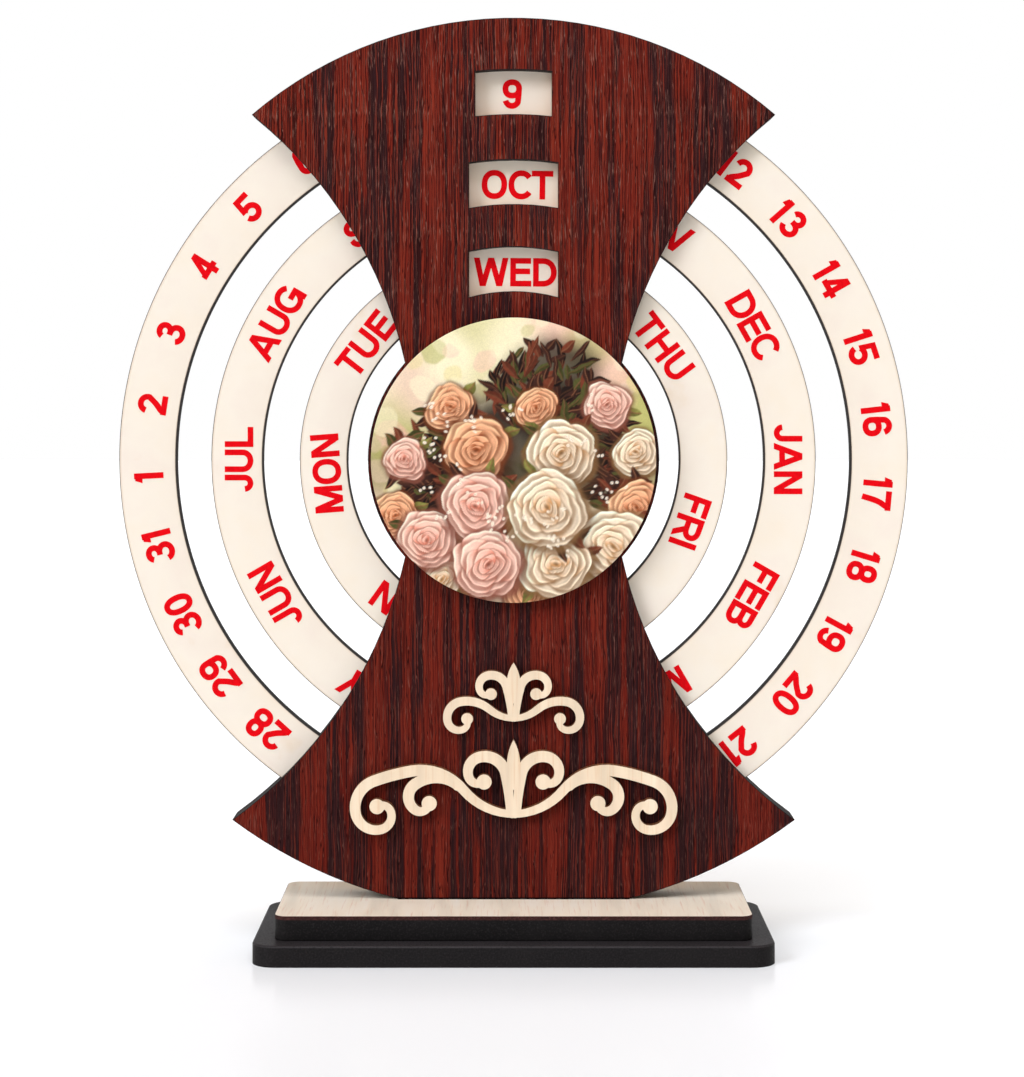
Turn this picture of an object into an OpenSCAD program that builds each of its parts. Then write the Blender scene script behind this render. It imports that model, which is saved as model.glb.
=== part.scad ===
// Perpetual desk calendar with three turning dials.
// Millimetres. X is the width, Y the depth with the front at -Y, Z is up.
// The origin lies under the middle of the base, on the surface that it stands on.

/* [Picture] */
// Radius of the picture in the middle
picture_r = 38.3; // [30:0.1:46]
// Thickness of the picture's board
picture_board_t = 3; // [2:0.2:6]
// Thickness of the print on that board
picture_print_t = 0.3; // [0.1:0.1:0.8]
// Rim of the panel's own disc past the picture
hub_rim = 1; // [0.4:0.1:2]

/* [Dials] */
// Open space between the panel's disc and the weekday dial
hub_space_w = 5.7; // [4:0.1:10]
// Width of the weekday dial's ring
weekday_w = 13; // [12.5:0.5:17]
// Space between the weekday dial and the month dial
inner_space_w = 10; // [5:0.5:16]
// Width of the month dial's ring
month_w = 14; // [12.5:0.5:18]
// Space between the month dial and the day dial
outer_space_w = 9.5; // [5:0.5:16]
// Width of the day dial's ring
day_w = 15.5; // [12.5:0.5:20]
// Thickness of each dial's board
dial_board_t = 3.6; // [2.4:0.2:6]
// Thickness of the printed face sheet on each dial
dial_face_t = 0.4; // [0.2:0.1:1]
// Running clearance between a dial and whatever guides it
dial_gap = 0.3; // [0.2:0.05:0.5]

/* [Panel outline] */
// Half-width of the panel at its waist
waist_half_w = 26.4; // [22:0.2:32]
// Radius of the hollow curve down each side
side_arc_r = 120.1; // [112:1:135]
// Height of the panel above the day dial
crown_h = 12.2; // [9:0.2:16]
// Radius of the panel's top edge
crown_arc_r = 108.4; // [104:0.4:124]
// Height of the panel between the day dial and the plinth
skirt_h = 11.5; // [9:0.5:16]
// Radius of the panel's bottom edge
skirt_arc_r = 126.8; // [116:0.4:140]
// Width of the tab that stands in the plinth
tab_w = 62; // [48:1:80]

/* [Layers] */
// Thickness of the wood-grain laminate
laminate_t = 0.8; // [0.4:0.1:1.6]
// Thickness of the front board under the laminate
front_board_t = 3.2; // [2.4:0.2:6]
// Thickness of the rear panel
rear_panel_t = 4; // [2.4:0.2:6]
// Place of the panel's front face, measured back from the middle of the base
panel_front_y = -1; // [-8:0.5:4]

/* [Windows] */
// Height of each window
window_h = 12; // [8:0.5:12.5]
// Width of the day window
day_window_w = 20.6; // [16:0.2:26]
// Width of the month window
month_window_w = 24; // [18:0.5:30]
// Width of the weekday window
weekday_window_w = 24; // [18:0.5:28]

/* [Ornaments] */
// Thickness of the cut-out ornaments
ornament_t = 2.7; // [1.5:0.1:5]
// Width of the lower ornament
lower_ornament_w = 88; // [70:1:100]
// Width of the upper ornament
upper_ornament_w = 38; // [30:0.5:42]
// Widest stroke of the lower ornament
lower_stroke_w = 3.1; // [2.4:0.1:3.6]
// Widest stroke of the upper ornament
upper_stroke_w = 2.4; // [1.8:0.1:2.8]
// Width of the leaf in the middle of each ornament
leaf_w = 3.6; // [2.4:0.2:5]
// Drop of the upper ornament's middle below the panel's disc
upper_ornament_drop = 23.7; // [20:0.1:27]
// Drop of the lower ornament's middle below the upper one's
lower_ornament_drop = 23.5; // [22.5:0.5:28]

/* [Base] */
// Width of the base plate
plate_w = 136.5; // [110:0.5:180]
// Depth of the base plate
plate_d = 56; // [44:0.5:90]
// Thickness of the base plate
plate_t = 5.6; // [3:0.1:12]
// Corner radius of the base plate
plate_corner_r = 6.5; // [2:0.5:12]
// Width of the ledge round the plinth
ledge_w = 5.6; // [2:0.1:9]
// Thickness of the plinth block
plinth_t = 5.5; // [3:0.1:12]
// Thickness of the pale veneer on the plinth
veneer_t = 1; // [0.4:0.1:2]
// Corner radius of the plinth
plinth_corner_r = 3.3; // [1:0.1:8]
// Clearance round the tab in its slot
slot_gap = 0.15; // [0.05:0.05:0.4]

/* [Hidden] */
$fn = 180;

BLACK = "#201d1c";
PALE = "#efe2c8";
CREAM = "#f1e8d4";
ROSEWOOD = "#5f201b";
BROWN = "#86644a";
CHAR = "#4a3626";
PRINT = "#c9b48a";

// Radii from the middle outwards.
hub_r = picture_r + hub_rim;
weekday_in_r = hub_r + hub_space_w;
weekday_r = weekday_in_r + weekday_w;
month_in_r = weekday_r + inner_space_w;
month_r = month_in_r + month_w;
day_in_r = month_r + outer_space_w;
day_r = day_in_r + day_w;

// Heights, those of the ornaments below the dials' centre.
plinth_z = plate_t;
veneer_z = plinth_z + plinth_t;
plinth_top_z = veneer_z + veneer_t;
centre_drop = day_r + skirt_h;
dial_z = plinth_top_z + centre_drop;
upper_ornament_z = hub_r + upper_ornament_drop;
lower_ornament_z = upper_ornament_z + lower_ornament_drop;
tab_h = plinth_t + veneer_t;

// Depths of the layers, from front to back.
board_y = panel_front_y + laminate_t;
dial_space_y = board_y + front_board_t;
dial_t = dial_board_t + dial_face_t;
dial_space_t = dial_t + 2 * dial_gap;
dial_face_y = dial_space_y + dial_gap;
dial_board_y = dial_face_y + dial_face_t;
rear_y = dial_space_y + dial_space_t;
stack_t = rear_y + rear_panel_t - panel_front_y;
picture_board_y = panel_front_y - picture_board_t;
picture_print_y = picture_board_y - picture_print_t;
ornament_y = panel_front_y - ornament_t;

// Centres of the arcs that bound the panel, relative to the dials' centre.
side_arc_x = waist_half_w + side_arc_r;
crown_arc_z = day_r + crown_h - crown_arc_r;
skirt_arc_z = sqrt(skirt_arc_r * skirt_arc_r - tab_w * tab_w / 4) - centre_drop;

plinth_w = plate_w - 2 * ledge_w;
plinth_d = plate_d - 2 * ledge_w;

// A piece larger than anything that is cut with it.
past = 400;
// Largest turn and distance between neighbouring points of a scroll.
scroll_turn = 7.5;
scroll_pitch = 2.2;
// A scroll's narrow ends and the radius of its round eye, as shares of its widest stroke.
scroll_tip = 0.64;
scroll_eye = 0.66;
// How much fuller than the narrow end the round start is.
scroll_foot = 1.1;

// ---------- Shared shapes ----------

// Stands a flat outline up, facing the front and t thick behind the plane y, about the dials' centre.
module layer(y, t) {
    translate([0, y + t, dial_z]) rotate([90, 0, 0]) linear_extrude(t) children();
}

module ring(r_out, r_in) {
    difference() {
        circle(r = r_out);
        circle(r = r_in);
    }
}

module upper_half() { translate([-past / 2, 0]) square([past, past / 2]); }

module lower_half() { translate([-past / 2, -past / 2]) square([past, past / 2]); }

// The hourglass: a crown arc and a skirt arc, hollowed by a large circle on each side.
module hourglass() {
    difference() {
        intersection() {
            union() {
                intersection() {
                    translate([0, crown_arc_z]) circle(r = crown_arc_r);
                    upper_half();
                }
                intersection() {
                    translate([0, skirt_arc_z]) circle(r = skirt_arc_r);
                    lower_half();
                }
            }
            translate([-past / 2, -centre_drop]) square(past);
        }
        for (side = [-1, 1]) translate([side * side_arc_x, 0]) circle(r = side_arc_r);
    }
}

// The hourglass with the disc behind the picture and the tab that stands in the plinth.
module panel_outline() {
    union() {
        hourglass();
        circle(r = hub_r);
        translate([-tab_w / 2, -centre_drop - tab_h]) square([tab_w, tab_h + skirt_h / 2]);
    }
}

// A window's top and bottom follow the dial behind it, and its sides are upright.
module window(r_out, ring_w, w) {
    middle = r_out - ring_w / 2;
    intersection() {
        ring(middle + window_h / 2, middle - window_h / 2);
        translate([-w / 2, 0]) square([w, past / 2]);
    }
}

module pierced_outline() {
    difference() {
        panel_outline();
        window(day_r, day_w, day_window_w);
        window(month_r, month_w, month_window_w);
        window(weekday_r, weekday_w, weekday_window_w);
    }
}

// The part of the panel that fills the space between two dials.
module guide(r_out, r_in) {
    intersection() {
        panel_outline();
        ring(r_out - dial_gap, r_in + dial_gap);
        children();
    }
}

// The part of the panel outside the day dial.
module rim() {
    difference() {
        intersection() {
            panel_outline();
            children();
        }
        circle(r = day_r + dial_gap);
    }
}

module rounded_slab(w, d, t, r) {
    linear_extrude(t) union() {
        square([w - 2 * r, d], center = true);
        square([w, d - 2 * r], center = true);
        for (x = [-1, 1], y = [-1, 1]) translate([x * (w / 2 - r), y * (d / 2 - r)]) circle(r = r);
    }
}

// The slot that the panel's tab stands in, through anything above the base plate.
module tab_slot() {
    translate([-tab_w / 2 - slot_gap, panel_front_y - slot_gap, plinth_z - tab_h])
        cube([tab_w + 2 * slot_gap, stack_t + 2 * slot_gap, 3 * tab_h]);
}

// ---------- Scrollwork ----------

// A place on a scroll is [x, y, heading, length so far].
// This moves it along an arc, to the left where sweep is positive.
function moved(p, r, sweep) =
    let (k = sweep > 0 ? r : -r)
    [
        p[0] + k * (sin(p[2] + sweep) - sin(p[2])),
        p[1] + k * (cos(p[2]) - cos(p[2] + sweep)),
        p[2] + sweep,
        p[3] + r * abs(sweep) * PI / 180
    ];

// Places along a chain of arcs, each given as [radius, sweep].
function trail(p, arcs, i = 0) =
    i == len(arcs) ? [p] :
    let (
        r = arcs[i][0],
        sweep = arcs[i][1],
        n = ceil(max(abs(sweep) / scroll_turn, r * abs(sweep) * PI / 180 / scroll_pitch))
    )
    concat(
        [for (j = [0:n - 1]) moved(p, r, sweep * j / n)],
        trail(moved(p, r, sweep), arcs, i + 1)
    );

// The point beside a place, on its left where off is positive.
function beside(p, off) = [p[0] - off * sin(p[2]), p[1] + off * cos(p[2])];

// A stroke, w wide where it swells in its middle, that starts round and ends in a round eye.
module scroll(start, arcs, w) {
    places = trail(concat(start, [0]), arcs);
    last = len(places) - 1;
    half = [
        for (p = places) w / 2 * (scroll_tip + (1 - scroll_tip) * sin(180 * p[3] / places[last][3]))
    ];
    union() {
        polygon(concat(
            [for (i = [0:last]) beside(places[i], -half[i])],
            [for (i = [0:last]) beside(places[last - i], half[last - i])]
        ));
        translate([places[0][0], places[0][1]]) circle(r = half[0] * scroll_foot);
        translate([places[last][0], places[last][1]]) circle(r = w * scroll_eye);
    }
}

// A pointed leaf standing on its lower tip: two arcs that meet at both ends.
module leaf(w, h) {
    r = (w * w + h * h) / (4 * w);
    translate([0, h / 2]) intersection() {
        translate([r - w / 2, 0]) circle(r = r);
        translate([w / 2 - r, 0]) circle(r = r);
    }
}

// A scroll is given as [start, arcs], with its start as [x, y, heading] and each arc as [radius, sweep].
// This makes it k times as large.
function sized(s, k) = [[k * s[0][0], k * s[0][1], s[0][2]], [for (a = s[1]) [k * a[0], a[1]]]];

// This mirrors it to the left side.
function left_side(s) = [[-s[0][0], s[0][1], 180 - s[0][2]], [for (a = s[1]) [a[0], -a[1]]]];

// A pair of each scroll about a leaf, with drawing units k long and strokes w wide.
module scrollwork(scrolls, leaf_foot, leaf_h, k, w) {
    union() {
        for (drawn = scrolls, s = [sized(drawn, k), left_side(sized(drawn, k))]) scroll(s[0], s[1], w);
        translate([0, k * leaf_foot]) leaf(leaf_w, k * leaf_h);
    }
}

// The scrolls in drawing units, and how many units each ornament is across.
lower_scrolls = [
    [[-0.4, -8.6, 0], [[18, 50], [15, -60], [60, -10], [7.6, -82], [5.6, -92], [3.7, -98], [2.5, -100]]],
    [[1, -8.2, 89], [[60, -10], [5.8, -92], [4.1, -98], [2.7, -104]]],
    [[15.2, -1.2, 42], [[9, -78], [4.2, -110], [2.4, -118]]],
];
lower_units = 88;
lower_leaf_foot = -2.2;
lower_leaf_h = 13.6;
upper_scrolls = [
    [[-0.3, -6.4, 0], [[10.5, 40], [9.5, -50], [4.4, -92], [3.1, -98], [2.1, -95]]],
    [[0.7, -6.2, 88], [[40, -12], [4.2, -92], [3, -98], [2, -100]]],
];
upper_units = 38;
upper_leaf_foot = -2.4;
upper_leaf_h = 11;

// ---------- Base ----------

module base_plate() {
    color(BLACK) rounded_slab(plate_w, plate_d, plate_t, plate_corner_r);
}

module plinth_block() {
    color(BLACK) difference() {
        translate([0, 0, plinth_z]) rounded_slab(plinth_w, plinth_d, plinth_t, plinth_corner_r);
        tab_slot();
    }
}

module plinth_veneer() {
    color(PALE) difference() {
        translate([0, 0, veneer_z]) rounded_slab(plinth_w, plinth_d, veneer_t, plinth_corner_r);
        tab_slot();
    }
}

// ---------- Panel ----------

module rear_panel() {
    color(BROWN) layer(rear_y, rear_panel_t) panel_outline();
}

module front_board() {
    color(BROWN) layer(board_y, front_board_t) pierced_outline();
}

module front_laminate() {
    color(ROSEWOOD) layer(panel_front_y, laminate_t) pierced_outline();
}

// ---------- Guides between the dials ----------

module upper_rim_spacer() {
    color(CHAR) layer(dial_space_y, dial_space_t) rim() upper_half();
}

module lower_rim_spacer() {
    color(CHAR) layer(dial_space_y, dial_space_t) rim() lower_half();
}

module upper_outer_guide() {
    color(CHAR) layer(dial_space_y, dial_space_t) guide(day_in_r, month_r) upper_half();
}

module lower_outer_guide() {
    color(CHAR) layer(dial_space_y, dial_space_t) guide(day_in_r, month_r) lower_half();
}

module upper_inner_guide() {
    color(CHAR) layer(dial_space_y, dial_space_t) guide(month_in_r, weekday_r) upper_half();
}

module lower_inner_guide() {
    color(CHAR) layer(dial_space_y, dial_space_t) guide(month_in_r, weekday_r) lower_half();
}

module hub_spacer() {
    color(CHAR) layer(dial_space_y, dial_space_t) intersection() {
        panel_outline();
        circle(r = weekday_in_r - dial_gap);
    }
}

// ---------- Dials ----------

module dial_board(r_out, r_in) {
    color(CHAR) layer(dial_board_y, dial_board_t) ring(r_out, r_in);
}

module dial_face(r_out, r_in) {
    color(CREAM) layer(dial_face_y, dial_face_t) ring(r_out, r_in);
}

module day_dial_board() { dial_board(day_r, day_in_r); }
module day_dial_face() { dial_face(day_r, day_in_r); }
module month_dial_board() { dial_board(month_r, month_in_r); }
module month_dial_face() { dial_face(month_r, month_in_r); }
module weekday_dial_board() { dial_board(weekday_r, weekday_in_r); }
module weekday_dial_face() { dial_face(weekday_r, weekday_in_r); }

// ---------- Picture and ornaments ----------

module picture_board() {
    color(CHAR) layer(picture_board_y, picture_board_t) circle(r = picture_r);
}

module picture_print() {
    color(PRINT) layer(picture_print_y, picture_print_t) circle(r = picture_r);
}

module upper_ornament() {
    color(PALE) layer(ornament_y, ornament_t) translate([0, -upper_ornament_z])
        scrollwork(
            upper_scrolls, upper_leaf_foot, upper_leaf_h,
            upper_ornament_w / upper_units, upper_stroke_w
        );
}

module lower_ornament() {
    color(PALE) layer(ornament_y, ornament_t) translate([0, -lower_ornament_z])
        scrollwork(
            lower_scrolls, lower_leaf_foot, lower_leaf_h,
            lower_ornament_w / lower_units, lower_stroke_w
        );
}

base_plate();
plinth_block();
plinth_veneer();
rear_panel();
front_board();
front_laminate();
upper_rim_spacer();
lower_rim_spacer();
upper_outer_guide();
lower_outer_guide();
upper_inner_guide();
lower_inner_guide();
hub_spacer();
day_dial_board();
day_dial_face();
month_dial_board();
month_dial_face();
weekday_dial_board();
weekday_dial_face();
picture_board();
picture_print();
upper_ornament();
lower_ornament();
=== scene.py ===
"""Perpetual desk calendar: the pieces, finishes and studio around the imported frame.

Every length below is in metres unless its name says mm. X runs to the right, Y away from the viewer and Z up.
"""
import math

import bpy
import numpy as np
from bpy.props import FloatProperty, FloatVectorProperty, IntProperty, PointerProperty
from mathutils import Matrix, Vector
from mathutils.geometry import delaunay_2d_cdt


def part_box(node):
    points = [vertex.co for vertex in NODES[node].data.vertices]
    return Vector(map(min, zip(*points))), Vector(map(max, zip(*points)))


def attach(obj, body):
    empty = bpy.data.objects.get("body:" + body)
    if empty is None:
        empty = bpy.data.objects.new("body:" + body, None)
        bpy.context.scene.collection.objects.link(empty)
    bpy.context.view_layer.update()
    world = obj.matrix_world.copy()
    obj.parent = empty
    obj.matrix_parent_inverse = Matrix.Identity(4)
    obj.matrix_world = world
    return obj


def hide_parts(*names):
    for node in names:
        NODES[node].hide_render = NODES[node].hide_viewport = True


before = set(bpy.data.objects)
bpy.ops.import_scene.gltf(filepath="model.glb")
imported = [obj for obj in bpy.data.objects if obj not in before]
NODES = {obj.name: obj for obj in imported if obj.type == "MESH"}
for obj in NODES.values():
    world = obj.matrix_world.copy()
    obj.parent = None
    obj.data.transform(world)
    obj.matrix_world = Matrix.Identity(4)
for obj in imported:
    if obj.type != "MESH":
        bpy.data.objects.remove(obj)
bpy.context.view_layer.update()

bl_info = {
    "name": "Perpetual Desk Calendar",
    "version": (1, 0, 0),
    "blender": (4, 5, 0),
    "location": "3D View > Sidebar > Calendar",
    "description": "Builds a desk calendar with three turning dials, its finishes and its studio",
    "category": "Object",
}

MM = 0.001
DIALS_Z = (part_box("day_dial_face")[0].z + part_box("day_dial_face")[1].z) / 2
MONTH_LABELS = "OCT NOV DEC JAN FEB MAR APR MAY JUN JUL AUG SEP".split()
WEEKDAY_ANGLES = {"WED": 0.5, "THU": 53, "FRI": 109.4, "SAT": 160, "SUN": -144.5, "MON": -94.3, "TUE": -52}
TOP_DAY = 9


def linear(code):
    """sRGB hex as linear RGBA: a channel c is c/12.92 up to 0.04045, and ((c+0.055)/1.055)^2.4 above."""
    c = np.array([int(code[i : i + 2], 16) for i in (1, 3, 5)]) / 255
    rgb = np.where(c <= 0.04045, c / 12.92, ((c + 0.055) / 1.055) ** 2.4)
    return (*rgb.tolist(), 1.0)


def colour_of(code, name):
    """A colour property with that sRGB hex as its default."""
    return FloatVectorProperty(name=name, description=f"{name} of the calendar", subtype="COLOR", size=4,
                               min=0, max=1, default=linear(code))


def length_of(value_mm, name, description):
    """A length property whose default is given in millimetres."""
    return FloatProperty(name=name, description=description, default=value_mm * MM, min=0, unit="LENGTH")


class CalendarFinishes(bpy.types.PropertyGroup):
    """Colours that a user would change."""

    wood_dark: colour_of("#301a1c", "Dark bands of the laminate")
    wood_red: colour_of("#691e15", "Red bands of the laminate")
    dial_cream: colour_of("#f1e7d8", "Face of the dials")
    ink: colour_of("#e50412", "Printed figures")
    base_black: colour_of("#131112", "Base boards")
    veneer: colour_of("#fbecd7", "Plinth veneer")
    ply: colour_of("#eed8bb", "Cut-out ornaments")
    board: colour_of("#a17c56", "Raw fibreboard")
    scorch: colour_of("#1b1513", "Laser-scorched edges")


class CalendarSizes(bpy.types.PropertyGroup):
    """Sizes that a user would change."""

    rounding: length_of(0.16, "Edge rounding", "Radius of the boards' edges after sanding")
    base_rounding: length_of(0.5, "Base edge rounding", "Radius of the base boards' edges")
    ink_thickness: length_of(0.06, "Ink thickness", "Height of the printed figures above the dials")
    day_cap: length_of(8.0, "Day figure height", "Height of the figures on the day dial")
    month_cap: length_of(7.75, "Month name height", "Height of the names on the month dial")
    weekday_cap: length_of(7.7, "Weekday name height", "Height of the names on the weekday dial")
    rim_steps: IntProperty(name="Steps round a dial", description="Facets round each turned piece",
                           default=288, min=64, max=720)


class CalendarStudio(bpy.types.PropertyGroup):
    """The camera and the light."""

    eye_height: length_of(151.9, "Camera height", "Height of the camera above the floor")
    eye_distance: length_of(661.6, "Camera distance", "Distance from the camera to the dials' axis plane")
    key_strength: FloatProperty(name="Key lamp", description="Strength of the lamp at the upper left",
                                default=1.57, min=0)
    ambient: FloatProperty(name="Ambient light", description="Strength of the white surroundings", default=0.35,
                           min=0, max=2)


# ---------------------------------------------------------------- finishes


def blank(name):
    """A new material with only its shader and output, ready for its pattern."""
    material = bpy.data.materials.new(name)
    material.use_nodes = True
    return material, material.node_tree, material.node_tree.nodes["Principled BSDF"]


def add(tree, kind, inputs=None, **settings):
    """Adds one node. Settings are its properties, and inputs are values or sockets by name or number."""
    made = tree.nodes.new(kind)
    for key, value in settings.items():
        setattr(made, key, value)
    for key, value in (inputs or {}).items():
        if isinstance(value, bpy.types.NodeSocket):
            tree.links.new(value, made.inputs[key])
        else:
            made.inputs[key].default_value = value
    return made


def ramp(tree, value, stops):
    """A colour ramp through (position, colour) stops."""
    made = add(tree, "ShaderNodeValToRGB", {0: value})
    bands = made.color_ramp.elements
    for band, (position, colour) in zip(bands, (stops[0], stops[-1])):
        band.position, band.color = position, colour
    for position, colour in stops[1:-1]:
        bands.new(position).color = colour
    return made.outputs[0]


def per_mm(x, y, z):
    """Mapping scale that makes one unit of a pattern x, y and z millimetres long on Object coordinates."""
    return (1 / (x * MM), 1 / (y * MM), 1 / (z * MM))


def rosewood():
    """Melamine-faced laminate with a rosewood print and pressed pores: satin, dark bands among red ones."""
    finishes = bpy.context.scene.calendar_finishes
    red, dark = tuple(finishes.wood_red), tuple(finishes.wood_dark)
    material, tree, shader = blank("pressed_rosewood_laminate")
    place = add(tree, "ShaderNodeTexCoord").outputs["Object"]
    # The grain sways sideways by up to 0.8 mm over 5 to 34 mm of height.
    slow = add(tree, "ShaderNodeMapping", {"Vector": place, "Scale": per_mm(9, 60, 34)}).outputs[0]
    sway = add(tree, "ShaderNodeTexNoise", {"Vector": slow, "Scale": 1.0, "Detail": 6.0,
                                            "Roughness": 0.58}).outputs["Color"]
    swayed = add(tree, "ShaderNodeVectorMath", {0: sway, 1: (0.0026, 0, 0), 2: place},
                 operation="MULTIPLY_ADD").outputs[0]
    # Bands: 1.5 to 7 mm wide with quite sharp borders, purplish black where the figure is low.
    wide = add(tree, "ShaderNodeMapping", {"Vector": swayed, "Scale": per_mm(7.5, 60, 260)}).outputs[0]
    figure = add(tree, "ShaderNodeTexNoise", {"Vector": wide, "Scale": 1.0, "Detail": 4.0,
                                              "Roughness": 0.72}).outputs["Fac"]
    banded = ramp(tree, figure, [(0.468, dark), (0.495, linear("#3c1616")), (0.518, red),
                                 (0.64, linear("#72251a"))])
    # Streaks: about 0.3 mm wide and 34 mm long, from deep shadow to bright red, twice as strong at the top of
    # the panel as at its foot.
    height = add(tree, "ShaderNodeSeparateXYZ", {0: place}).outputs["Z"]
    narrow = add(tree, "ShaderNodeMapping", {"Vector": swayed, "Scale": per_mm(0.32, 60, 34)}).outputs[0]
    streaks = add(tree, "ShaderNodeTexNoise", {"Vector": narrow, "Scale": 1.0, "Detail": 2.0}).outputs["Fac"]
    deepest = add(tree, "ShaderNodeMapRange", {0: height, 1: 0.02, 2: 0.23, 3: 0.47, 4: 0.85}).outputs[0]
    brightest = add(tree, "ShaderNodeMapRange", {0: height, 1: 0.02, 2: 0.23, 3: 0.385, 4: 0.7}).outputs[0]
    depth = add(tree, "ShaderNodeMapRange", {0: streaks, 1: 0.5, 2: 0.4, 3: 0.0, 4: deepest}).outputs[0]
    bright = add(tree, "ShaderNodeMapRange", {0: streaks, 1: 0.53, 2: 0.6, 3: 0.0, 4: brightest}).outputs[0]
    darker = add(tree, "ShaderNodeMix", {0: depth, 6: banded, 7: linear("#260d0c")}, data_type="RGBA").outputs[2]
    streaked = add(tree, "ShaderNodeMix", {0: bright, 6: darker, 7: linear("#86301f")},
                   data_type="RGBA").outputs[2]
    # Pores: pressed lines 0.1 to 0.2 mm wide and up to 16 mm long, along two levels of one noise. The groove is
    # nearly black, which is painted shade, and the rim beside it has a painted highlight, a greyish pink line
    # that comes and goes.
    fine = add(tree, "ShaderNodeMapping", {"Vector": swayed, "Scale": per_mm(0.5, 60, 16)}).outputs[0]
    pores = add(tree, "ShaderNodeTexNoise", {"Vector": fine, "Scale": 1.0, "Detail": 1.5,
                                             "Roughness": 0.55}).outputs["Fac"]
    groove_shade = ramp(tree, pores, [(0.518, (0, 0, 0, 1)), (0.539, (0.9, 0.9, 0.9, 1)), (0.549, (0.9, 0.9, 0.9, 1)),
                                (0.570, (0, 0, 0, 1))])
    rims = ramp(tree, pores, [(0.483, (0, 0, 0, 1)), (0.496, (0.7, 0.7, 0.7, 1)), (0.503, (0.7, 0.7, 0.7, 1)),
                              (0.516, (0, 0, 0, 1))])
    # The rims' painted highlight shows in lengths of 4 mm or so, and a third as clearly at the foot of the panel
    # as at its top.
    highlight_clarity = add(tree, "ShaderNodeMapRange", {0: height, 1: 0.02, 2: 0.23, 3: 0.35, 4: 1.0}).outputs[0]
    parts = add(tree, "ShaderNodeMapping", {"Vector": place, "Scale": per_mm(0.6, 60, 4)}).outputs[0]
    broken = add(tree, "ShaderNodeTexNoise", {"Vector": parts, "Scale": 1.0, "Detail": 2.0}).outputs["Fac"]
    shown = add(tree, "ShaderNodeMapRange", {0: broken, 1: 0.42, 2: 0.60, 3: 0.1, 4: highlight_clarity}).outputs[0]
    lit = add(tree, "ShaderNodeMath", {0: rims, 1: shown}, operation="MULTIPLY").outputs[0]
    groove_shaded = add(tree, "ShaderNodeMix", {0: groove_shade, 6: streaked, 7: linear("#1c0908")},
                data_type="RGBA").outputs[2]
    rim_highlighted = add(tree, "ShaderNodeMix", {0: lit, 6: groove_shaded, 7: linear("#94685a")}, data_type="RGBA").outputs[2]
    # Painted sheen and shade: the print is drawn up to 20 percent darker towards the foot of the panel and
    # lighter at its top.
    painted_sheen = add(tree, "ShaderNodeMapRange", {0: height, 1: 0.02, 2: 0.23, 3: 0.84, 4: 1.05}).outputs[0]
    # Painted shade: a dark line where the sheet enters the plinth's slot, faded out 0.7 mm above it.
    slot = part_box("plinth_veneer")[1].z
    foot = add(tree, "ShaderNodeMapRange", {0: height, 1: slot + 0.3 * MM, 2: slot + 0.7 * MM, 3: 0.1,
                                            4: 1.0}).outputs[0]
    tone = add(tree, "ShaderNodeMath", {0: painted_sheen, 1: foot}, operation="MULTIPLY").outputs[0]
    toned = add(tree, "ShaderNodeVectorMath", {0: rim_highlighted, "Scale": tone}, operation="SCALE").outputs[0]
    tree.links.new(toned, shader.inputs["Base Color"])
    gloss = add(tree, "ShaderNodeMapRange", {0: pores, 1: 0.3, 2: 0.7, 3: 0.58, 4: 0.42}).outputs[0]
    tree.links.new(gloss, shader.inputs["Roughness"])
    shader.inputs["Specular IOR Level"].default_value = 0.03
    relief = add(tree, "ShaderNodeMix", {0: 0.35, 2: pores, 3: streaks}, data_type="FLOAT").outputs[0]
    pressed = add(tree, "ShaderNodeBump", {"Height": relief, "Strength": 0.5, "Distance": 0.0003}).outputs[0]
    tree.links.new(pressed, shader.inputs["Normal"])
    return material


def scorched(name="scorched_edge", tint=None):
    """Laser-cut fibreboard edge: near-black char with fine burn lines through the thickness, quite matt."""
    material, tree, shader = blank(name)
    char = tint or tuple(bpy.context.scene.calendar_finishes.scorch)
    place = add(tree, "ShaderNodeTexCoord").outputs["Object"]
    across = add(tree, "ShaderNodeMapping", {"Vector": place, "Scale": per_mm(0.45, 9, 0.45)}).outputs[0]
    burn = add(tree, "ShaderNodeTexNoise", {"Vector": across, "Scale": 1.0, "Detail": 3.0}).outputs["Fac"]
    pale = tuple(min(1.0, c * 1.9 + 0.006) for c in char[:3]) + (1.0,)
    deep = tuple(c * 0.55 for c in char[:3]) + (1.0,)
    tree.links.new(ramp(tree, burn, [(0.3, deep), (0.52, char), (0.75, pale)]), shader.inputs["Base Color"])
    shader.inputs["Roughness"].default_value = 0.72
    shader.inputs["Specular IOR Level"].default_value = 0.2
    ridges = add(tree, "ShaderNodeBump", {"Height": burn, "Strength": 0.5, "Distance": 0.00012}).outputs[0]
    tree.links.new(ridges, shader.inputs["Normal"])
    return material


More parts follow.
